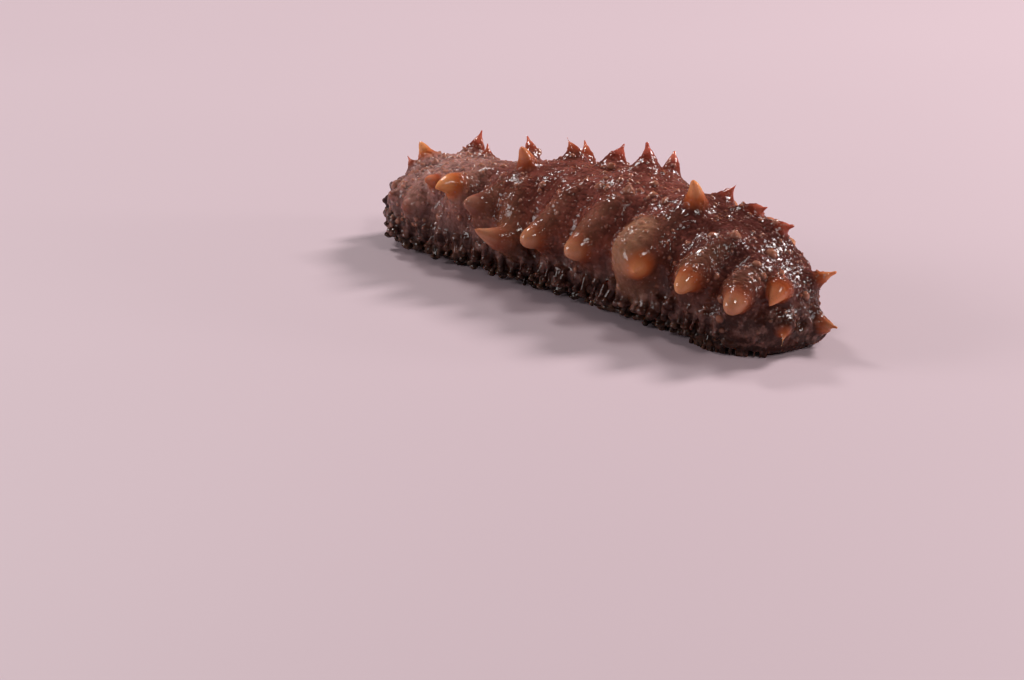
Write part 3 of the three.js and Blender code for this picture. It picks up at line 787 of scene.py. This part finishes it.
# Marks the papillae, draws the pointed ones out to thin tips, and gives back how smooth the skin
# is: 1 at their ends.
def mark_papillae(points, papillae, masks):
    smooth = np.zeros(len(points))
    for g in papillae:
        reach = g.length + g.radius * 2.5
        near = np.flatnonzero(np.linalg.norm(points - g.root, axis=1) < reach)
        gap, t = g.distance(points[near])
        close = smoothstep(-gap, -1.1, -0.15)
        own = close * smoothstep(t, *TINTS[g.shape])
        if g.shape == "mound":
            # It is orange towards the tail, partly its own colour and partly painted glow of light
            # shining through it, and as pale as a fold towards the head; below its tip the paleness
            # fades, as painted shade under the tip.
            own *= 0.45 + 0.55 * smoothstep(points[near, 0] - g.tip[0], -2.4, 0.8)
            side = smoothstep(g.tip[0] - points[near, 0], -1.2, 2.4)
            side *= 0.3 + 0.7 * smoothstep(points[near, 2] - g.tip[2], -3, 0)
            lift(masks["fold"], 0.6 * smoothstep(-gap, -1.8, -0.4) * side, near)
        lift(masks["papilla"], own, near)
        lift(masks["warmth"], g.warmth * smoothstep(-gap, -1.6, -0.1), near)
        pointed = g.shape in POINTED
        first, last = (0.35, 0.95) if pointed else (0.2, 0.7)
        lift(smooth, close * smoothstep(t, first, last), near)
        if pointed:
            tip = smoothstep(t, 0.82, 0.97) * smoothstep(-gap, -0.3, -0.05)
            centre = g.axis(t)[0]
            points[near] += (centre - points[near]) * (0.35 * tip)[:, None]
            points[near] += g.aim * (0.6 * tip ** 2)[:, None]
    return smooth


# Marks the swollen folds of the flanks. Those that start on the back keep its colour.
def mark_folds(points, masks):
    for *ends, radius0, radius1, rise, _ in FOLDS:
        if abs(ends[1]) < 45:
            continue
        for t in np.linspace(-0.15, 1, 8):
            spot = skin_point(*between(ends, t))
            gap = np.linalg.norm(points - spot, axis=1) / (radius0 + (radius1 - radius0) * t)
            own = smoothstep(-gap, -1.15, -0.25) * min(rise / 2.4, 0.3) * (1 - 0.7 * max(t, 0))
            lift(masks["fold"], own)


# Marks the back, the mouth end, the sole and the lower flank.
def mark_regions(points, masks):
    x, y, z = points.T
    angle = np.arctan2(np.abs(y - along(x, CENTRE_Y)), z - along(x, BACK_Z) * WIDEST_AT)
    masks["dorsal"] = smoothstep(-angle, -2.0, -0.7)
    masks["crown"] = smoothstep(crown_forwards(x, z), -0.9, 0.9)
    masks["sole"] = smoothstep(-z, -4.4, -2.4) * smoothstep(-x, -45, -40)
    # The lower flank's mask also carries painted shade under the overhang.
    masks["low"] = smoothstep(-z, -11.5, -5.5) * (1 - masks["papilla"])


# Warts, granules, domes and wrinkles: how far they lift each point out of the skin. The mask
# named relief tells their hollows from their tops.
def small_forms(points, masks, smooth):
    x, y, z = points.T
    sole, back = masks["sole"], masks["dorsal"]
    bare = (1 - 0.9 * smooth) * (1 - 0.8 * sole) * (1 - 0.8 * masks["crown"])
    rise = np.zeros(len(points))
    for place, degrees, radius in WARTS:
        spot = skin_point(np.float64(place), math.radians(degrees))
        gap = np.linalg.norm(points - spot, axis=1) / (radius * 1.2)
        bump = np.maximum(1 - gap * gap, 0) ** 0.7
        rise += bump * radius
        lift(masks["wart"], smoothstep(bump, 0.1, 0.6))
    relief = np.zeros(len(points))
    # Beads of the head, then coarse to fine: cell, smallest and largest radius, seed, share and
    # amount.
    for cell, smallest, largest, seed, share, amount in [
            (1.4, 0.4, 0.7, 71, 0.7, bare * smoothstep(-x, 22, 36) * smoothstep(z, 3, 7)),
            (2.7, 0.4, 0.8, 3, 0.5, bare * (0.35 + 0.6 * back)),
            (1.35, 0.26, 0.46, 11, 0.6, bare * (0.4 + 0.5 * back)),
            (0.85, 0.2, 0.32, 19, 0.55, bare * (0.5 + 0.1 * back)),
            (0.62, 0.18, 0.3, 27, 0.5, 0.8 * bare * back * smoothstep(x, 24, 40))]:
        height = beads(points, cell, smallest, largest, seed, share) * amount
        rise += height
        relief += height
        if smallest > 0.22:
            lift(masks["wart"], smoothstep(height, 0.05, 0.3))
        else:
            lift(masks["granule"], smoothstep(height, 0.03, 0.2))
    # Low domes packed side by side, which catch the light one by one: cell, seed, height.
    warped = points + 0.5 * np.stack([noise(points, 1.6, seed) for seed in (51, 52, 53)], -1)
    patch = smoothstep(noise(points, 3.4, 57), -0.5, 0.5)
    headwards = smoothstep(-x, 30, 39) * (0.4 + 0.6 * smoothstep(-masks["crown"], -0.6, 0))
    fine = 0.4 + 0.4 * back + 0.1 * back * smoothstep(x, 0, 40)
    for cell, seed, height in [
            (1.7, 73, 0.55 * headwards),
            (0.95, 61, 0.12 * (0.3 + 0.7 * back)),
            (0.52, 67, 0.085 * fine * (0.3 + 0.7 * patch))]:
        gap, own = scattered(warped, cell, seed)
        dome = (1 - np.minimum(gap / (0.75 * cell), 1) ** 2) * (0.5 + 0.8 * own)
        rise += dome * height * bare
        relief += (dome - 0.4) * height * bare
    # Wrinkles run round the body, and wider swellings lie under them.
    lying = np.stack([x, (y - along(x, CENTRE_Y)) * 0.4, z * 0.4], -1)
    wrinkle = 0.05 * noise(lying + 0.6 * noise(points, 2.5, 41)[:, None], 1.3, 23)
    rise += wrinkle * (1 - 0.6 * sole) * (1 - 0.85 * smooth)
    relief += wrinkle * (1 - 0.85 * smooth)
    rise += 0.3 * noise(points, 4.2, 31) * (1 - sole)
    rise += 0.09 * noise(points, 1.7, 33) * (1 - 0.75 * smooth)
    masks["relief"] = smoothstep(relief, -0.12, 0.22)
    return rise


MASKS = ("papilla", "warmth", "dorsal", "sole", "crown", "granule", "wart", "relief", "low", "fold")


def make_skin():
    papillae = growths()
    points, quads = surface(build_field(papillae))
    # This smooths the grid's steps and keeps the size.
    points = relax(points, quads, 0.5)
    points = relax(points, quads, -0.52)
    masks = {name: np.zeros(len(points)) for name in MASKS}
    smooth = mark_papillae(points, papillae, masks)
    mark_folds(points, masks)
    mark_regions(points, masks)
    rise = small_forms(points, masks, smooth)
    points = points + vertex_normals(points, quads) * rise[:, None]
    points[:, 2] = np.maximum(points[:, 2], 0)
    return points, quads, masks


def add_object(name, data):
    thing = bpy.data.objects.new(name, data)
    bpy.context.scene.collection.objects.link(thing)
    return thing


def add_mesh(name, points, quads):
    mesh = bpy.data.meshes.new(name)
    mesh.vertices.add(len(points))
    mesh.vertices.foreach_set("co", ((points - MIDDLE) * MM).astype(np.float32).ravel())
    mesh.loops.add(quads.size)
    mesh.loops.foreach_set("vertex_index", quads.astype(np.int32).ravel())
    mesh.polygons.add(len(quads))
    mesh.polygons.foreach_set("loop_start", np.arange(0, quads.size, 4, dtype=np.int32))
    mesh.polygons.foreach_set("use_smooth", np.ones(len(quads), bool))
    mesh.update(calc_edges=True)
    mesh.validate()
    return add_object(name, mesh)


class Nodes:
    """Short ways to add nodes and links to one material."""

    def __init__(self, name):
        self.material = bpy.data.materials.new(name)
        self.material.use_nodes = True
        self.tree = self.material.node_tree
        self.shader = self.tree.nodes["Principled BSDF"]

    def put(self, socket, value):
        if isinstance(value, bpy.types.NodeSocket):
            self.tree.links.new(value, socket)
        elif isinstance(value, tuple) and len(value) == 3 and socket.type == "RGBA":
            socket.default_value = (*value, 1)
        else:
            socket.default_value = value

    def fill(self, node, sockets):
        for key, value in sockets.items():
            self.put(node.inputs[key], value)

    def add(self, kind, sockets=None, **settings):
        node = self.tree.nodes.new(kind)
        for key, value in settings.items():
            setattr(node, key, value)
        self.fill(node, sockets or {})
        return node

    def place(self):
        return self.add("ShaderNodeTexCoord").outputs["Object"]

    def mask(self, name):
        return self.add("ShaderNodeAttribute", attribute_name=name).outputs["Fac"]

    def maths(self, operation, a, b, clamp=False):
        settings = {"operation": operation, "use_clamp": clamp}
        return self.add("ShaderNodeMath", {0: a, 1: b}, **settings).outputs[0]

    def mix(self, factor, a, b):
        sockets = {"Factor": factor, "A": a, "B": b}
        return self.add("ShaderNodeMix", sockets, data_type="RGBA").outputs["Result"]

    def ramp(self, value, low, high, to_low=0.0, to_high=1.0):
        sockets = {"Value": value, "From Min": low, "From Max": high,
                   "To Min": to_low, "To Max": to_high}
        settings = {"interpolation_type": "SMOOTHSTEP"}
        return self.add("ShaderNodeMapRange", sockets, **settings).outputs["Result"]

    def noise(self, place, scale, detail=3.0, roughness=0.55):
        sockets = {"Vector": place, "Scale": scale, "Detail": detail, "Roughness": roughness}
        return self.add("ShaderNodeTexNoise", sockets).outputs["Fac"]

    def spots(self, place, scale):
        sockets = {"Vector": place, "Scale": scale}
        return self.add("ShaderNodeTexVoronoi", sockets).outputs["Distance"]


# Colours of the skin. Where there are two, blotches or specks run from the first to the second.
FLANK = (0.12, 0.028, 0.013), (0.19, 0.048, 0.024)
BACK = (0.125, 0.029, 0.021), (0.21, 0.057, 0.043)
BACK_AT_TAIL = (0.06, 0.016, 0.014)
HEAD = (0.4, 0.2, 0.172)
FRONT_OF_HEAD = (0.33, 0.19, 0.19)
# The lower flank: its own dark tone, partly painted shade under the overhang, with paler blotches.
LOWER_FLANK_AND_SHADE = (0.024, 0.008, 0.005), (0.19, 0.092, 0.075)
DARK_SPECK = (0.055, 0.014, 0.009)
# Painted shade for the hollows between the granules.
PAINTED_HOLLOW_SHADE = (0.04, 0.009, 0.006)
SWOLLEN = (0.4, 0.2, 0.115)
# Papillae, lower part and end: on the flank, on the back, and the orange ones.
STEM_FLANK, STEM_BACK = (0.19, 0.06, 0.04), (0.16, 0.021, 0.014)
STEM_WARM = (0.46, 0.1, 0.026)
# The ends on the back are partly their own red and partly painted glow of light shining through
# them from behind.
TIP_FLANK, TIP_BACK_AND_GLOW = (0.32, 0.13, 0.085), (0.44, 0.08, 0.056)
TIP_WARM = (0.74, 0.29, 0.11)
WART = (0.36, 0.15, 0.095)
GRANULE = (0.33, 0.14, 0.105)
# Pale dots, partly the skin's own specks and partly painted glints.
DOT_AND_GLINT = (0.36, 0.18, 0.14)
MOUTH_END = (0.085, 0.04, 0.04), (0.22, 0.115, 0.108)
SOLE = (0.022, 0.009, 0.006), (0.11, 0.052, 0.034)


def skin_colour(n, place, mottle):
    papilla, warmth, dorsal, low, fold, relief = [
        n.mask(name) for name in ("papilla", "warmth", "dorsal", "low", "fold", "relief")]
    blotches = n.ramp(n.noise(place, 260, 4), 0.35, 0.65)
    parts = n.add("ShaderNodeSeparateXYZ", {0: place}).outputs
    lengthwise, sideways = parts["X"], parts["Y"]
    # Flank to back, darker at the tail.
    back = n.mix(n.ramp(lengthwise, 0.012, 0.034, 0, 0.65), n.mix(blotches, *BACK), BACK_AT_TAIL)
    colour = n.mix(dorsal, n.mix(blotches, *FLANK), back)
    # The head is greyer, most of all on the near flank, and violet in front.
    nearby = n.ramp(sideways, 0.002, 0.011, 1, 0.35)
    for tone, first, last, amount in [(HEAD, -0.036, -0.014, 0.85),
                                      (FRONT_OF_HEAD, -0.046, -0.038, 0.7)]:
        share = n.maths("MULTIPLY", nearby, n.ramp(lengthwise, first, last, amount, 0))
        colour = n.mix(share, colour, tone)
    # The lower flank darkens towards the floor, partly its own tone and partly painted shade under
    # the overhang.
    edge = n.mix(n.ramp(n.noise(place, 560, 3), 0.46, 0.64, 0, 0.8), *LOWER_FLANK_AND_SHADE)
    colour = n.mix(n.maths("MULTIPLY", low, 0.95), colour, edge)
    colour = n.mix(n.ramp(mottle, 0.42, 0.72, 0, 0.45), colour, DARK_SPECK)
    # The hollows between the granules are painted darker, as painted shade, and the swollen folds
    # paler.
    colour = n.mix(n.ramp(relief, 0.15, 0.45, 0.5, 0), colour, PAINTED_HOLLOW_SHADE)
    colour = n.mix(n.maths("MULTIPLY", fold, n.ramp(mottle, 0.3, 0.7, 1, 0.7)), colour, SWOLLEN)
    # Papillae: red-brown round the root, then orange to tan at the tip.
    crest = n.ramp(dorsal, 0.7, 1.0)
    stem = n.mix(warmth, n.mix(crest, STEM_FLANK, STEM_BACK), STEM_WARM)
    stem = n.mix(fold, stem, SWOLLEN)
    # On the back the tip colour carries painted glow of light shining through.
    tip = n.mix(warmth, n.mix(crest, TIP_FLANK, TIP_BACK_AND_GLOW), TIP_WARM)
    tip = n.mix(n.ramp(n.noise(place, 2000, 3, 0.7), 0.5, 0.75, 0, 0.4), tip, stem)
    colour = n.mix(n.ramp(papilla, 0.06, 0.7), colour, stem)
    colour = n.mix(n.ramp(papilla, 0.55, 1.0), colour, tip)
    # Pale warts, granules and dots; the dots are partly pale specks of the skin and partly painted
    # glints.
    colour = n.mix(n.maths("MULTIPLY", n.mask("wart"), 0.75), colour, WART)
    colour = n.mix(n.maths("MULTIPLY", n.mask("granule"), 0.4), colour, GRANULE)
    dots_and_glints = n.ramp(n.spots(place, 1150), 0.12, 0.3, 1, 0)
    dots_and_glints = n.maths("MULTIPLY", dots_and_glints, n.ramp(n.noise(place, 420, 2), 0.4, 0.62))
    dots_and_glints = n.maths("MULTIPLY", dots_and_glints, n.maths("SUBTRACT", 0.65, low, True))
    colour = n.mix(dots_and_glints, colour, DOT_AND_GLINT)
    # The mouth end is greyish violet, and the sole dark.
    colour = n.mix(n.mask("crown"), colour, n.mix(blotches, *MOUTH_END))
    return n.mix(n.mask("sole"), colour, n.mix(n.ramp(mottle, 0.4, 0.7), *SOLE))


# Fine grain of the skin, weaker on the papillae.
def skin_grain(n, place):
    grain = n.noise(place, 2600, 4, 0.6)
    pores = n.ramp(n.spots(place, 2300), 0.0, 0.6, 1, 0)
    height = n.maths("ADD", n.maths("MULTIPLY", grain, 0.5), n.maths("MULTIPLY", pores, 0.8))
    height = n.maths("MULTIPLY", height, n.ramp(n.mask("papilla"), 0.2, 0.8, 1, 0.3))
    settings = {"Strength": 0.2, "Distance": 0.0001, "Height": height}
    return n.add("ShaderNodeBump", settings).outputs["Normal"]


# How wet the skin is: most on what stands out of it.
def skin_wetness(n, place):
    wet = n.maths("MAXIMUM", n.mask("granule"), n.mask("wart"))
    wet = n.maths("MAXIMUM", wet, n.ramp(n.mask("relief"), 0.35, 0.65))
    wet = n.maths("MULTIPLY", wet, n.ramp(n.spots(place, 1500), 0.3, 0.5, 1, 0))
    wet = n.ramp(wet, 0, 1, 0.3, 1)
    return n.maths("MAXIMUM", wet, n.ramp(n.mask("papilla"), 0.3, 0.9, 0, 0.6))


def skin_material():
    n = Nodes("sea_cucumber_skin")
    place = n.place()
    mottle = n.noise(place, 900, 3)
    grain = skin_grain(n, place)
    n.fill(n.shader, {
        "Base Color": skin_colour(n, place, mottle),
        "Normal": grain,
        "Coat Normal": grain,
        "Roughness": n.ramp(mottle, 0.3, 0.7, 0.4, 0.55),
        "Specular IOR Level": 0.0,
        "IOR": 1.4,
        "Subsurface Weight": 0.3,
        "Subsurface Radius": (1.0, 0.32, 0.14),
        "Subsurface Scale": 0.0012,
        "Coat Weight": skin_wetness(n, place),
        "Coat Roughness": 0.035,
        "Coat IOR": 1.6,
    })
    return n.material


def skin():
    points, quads, masks = make_skin()
    piece = add_mesh("skin", points, quads)
    for name, values in masks.items():
        layer = piece.data.attributes.new(name, "FLOAT", "POINT")
        layer.data.foreach_set("value", np.clip(values, 0, 1).astype(np.float32))
    piece.data.materials.append(skin_material())
    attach(piece, "root")
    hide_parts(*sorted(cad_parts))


FLOOR = (0.58, 0.444, 0.488), (0.61, 0.468, 0.513)
FLOOR_REACH = 3.0


def stage():
    n = Nodes("pale_floor")
    colour = n.mix(n.noise(n.place(), 6, 2), *FLOOR)
    n.fill(n.shader, {"Base Color": colour, "Roughness": 0.55})
    mesh = bpy.data.meshes.new("floor")
    r = FLOOR_REACH
    mesh.from_pydata([(-r, -r, 0), (r, -r, 0), (r, r, 0), (-r, r, 0)], [], [(0, 1, 2, 3)])
    mesh.materials.append(n.material)
    floor = add_object("floor", mesh)


# The matrix of a lamp or camera at a place that looks in a direction.
def looking(place, direction):
    return Matrix.Translation(place) @ direction.to_track_quat("-Z", "Y").to_matrix().to_4x4()


# The camera: its place on the body's own axes, its turn and its tilt in degrees.
EYE = np.array([288.8, -296.6, 130.0])
AZIMUTH, PITCH = 45.9, 18.7
FOCAL_LENGTH, SENSOR_WIDTH = 89.05, 36


def camera():
    azimuth, pitch = math.radians(AZIMUTH), math.radians(PITCH)
    forward = Vector((-math.sin(azimuth) * math.cos(pitch), math.cos(azimuth) * math.cos(pitch),
                      -math.sin(pitch)))
    data = bpy.data.cameras.new("camera")
    data.lens = FOCAL_LENGTH
    data.sensor_width = SENSOR_WIDTH
    data.clip_start = 0.01
    data.clip_end = 20
    view = add_object("camera", data)
    view.matrix_world = looking(Vector((EYE - MIDDLE) * MM), forward)
    bpy.context.scene.camera = view


# Soft lights: place, size, power and colour. Each is aimed at the animal's middle.
TARGET = Vector((0, 0, 0.01))
LIGHTS = [
    ((0.12, 0.62, 0.56), (0.2, 0.2), 5.8, (1.0, 0.96, 0.95)),
    ((-0.55, 0.15, 0.55), (0.12, 0.12), 1.9, (1.0, 0.98, 0.97)),
    ((-0.55, -0.57, 0.28), (0.34, 0.26), 2.8, (1.0, 0.97, 0.99)),
    ((0.55, -0.12, 0.58), (0.14, 0.14), 1.4, (1.0, 0.97, 0.94)),
    ((0.54, 0.46, 0.17), (0.14, 0.1), 1.1, (1.0, 0.96, 0.97)),
]
AMBIENT_COLOUR, AMBIENT_STRENGTH = (0.95, 0.93, 0.94, 1), 0.11


def lights():
    for i, (place, size, power, colour) in enumerate(LIGHTS):
        data = bpy.data.lights.new(f"light_{i}", "AREA")
        data.shape = "RECTANGLE"
        data.size, data.size_y = size
        data.energy = power
        data.color = colour
        lamp = add_object(f"light_{i}", data)
        lamp.matrix_world = looking(Vector(place), TARGET - Vector(place))
    world = bpy.data.worlds.new("studio")
    world.use_nodes = True
    background = world.node_tree.nodes["Background"]
    background.inputs["Color"].default_value = AMBIENT_COLOUR
    background.inputs["Strength"].default_value = AMBIENT_STRENGTH
    bpy.context.scene.world = world


bpy.context.scene.view_settings.view_transform = "Standard"
camera()
lights()
stage()
skin()
